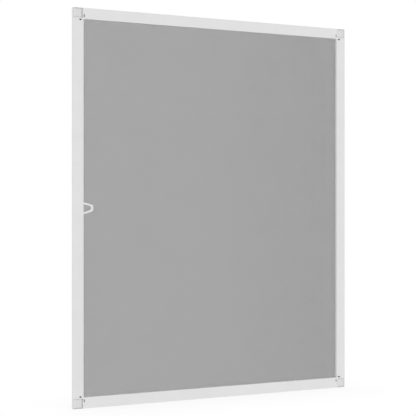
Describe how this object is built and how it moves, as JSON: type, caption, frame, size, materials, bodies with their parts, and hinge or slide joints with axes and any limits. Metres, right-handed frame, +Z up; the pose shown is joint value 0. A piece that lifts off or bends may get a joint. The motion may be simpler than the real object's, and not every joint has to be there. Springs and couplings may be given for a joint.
{
  "type": "window insect screen",
  "caption": "Upright rectangular window screen: a slim white frame with pillow-faced corner blocks, a stretched grey woven mesh and a pull tab on one side.",
  "frame": {"origin": "middle of the bottom edge, halfway through the depth", "axes": "+X to the right seen from the front, +Y from the front to the rear, +Z up"},
  "size_m": [1, 0.012, 1.2],
  "materials": {
    "coated_frame": "white powder coat, satin",
    "corner_plastic": "white, fine moulded grain",
    "woven_mesh": "grey coated yarn, plain weave",
    "spline_cord": "dark grey, matt",
    "tab_plastic": "white, half gloss"
  },
  "bodies": {
    "root": {"left_stile": "coated_frame", "right_stile": "coated_frame", "top_rail": "coated_frame", "bottom_rail": "coated_frame", "corner_top_left": "corner_plastic", "corner_top_right": "corner_plastic", "corner_bottom_left": "corner_plastic", "corner_bottom_right": "corner_plastic", "insect_mesh": "woven_mesh", "spline_left": "spline_cord", "spline_right": "spline_cord", "spline_top": "spline_cord", "spline_bottom": "spline_cord", "pull_tab": "tab_plastic"}
  },
  "joints": []
}
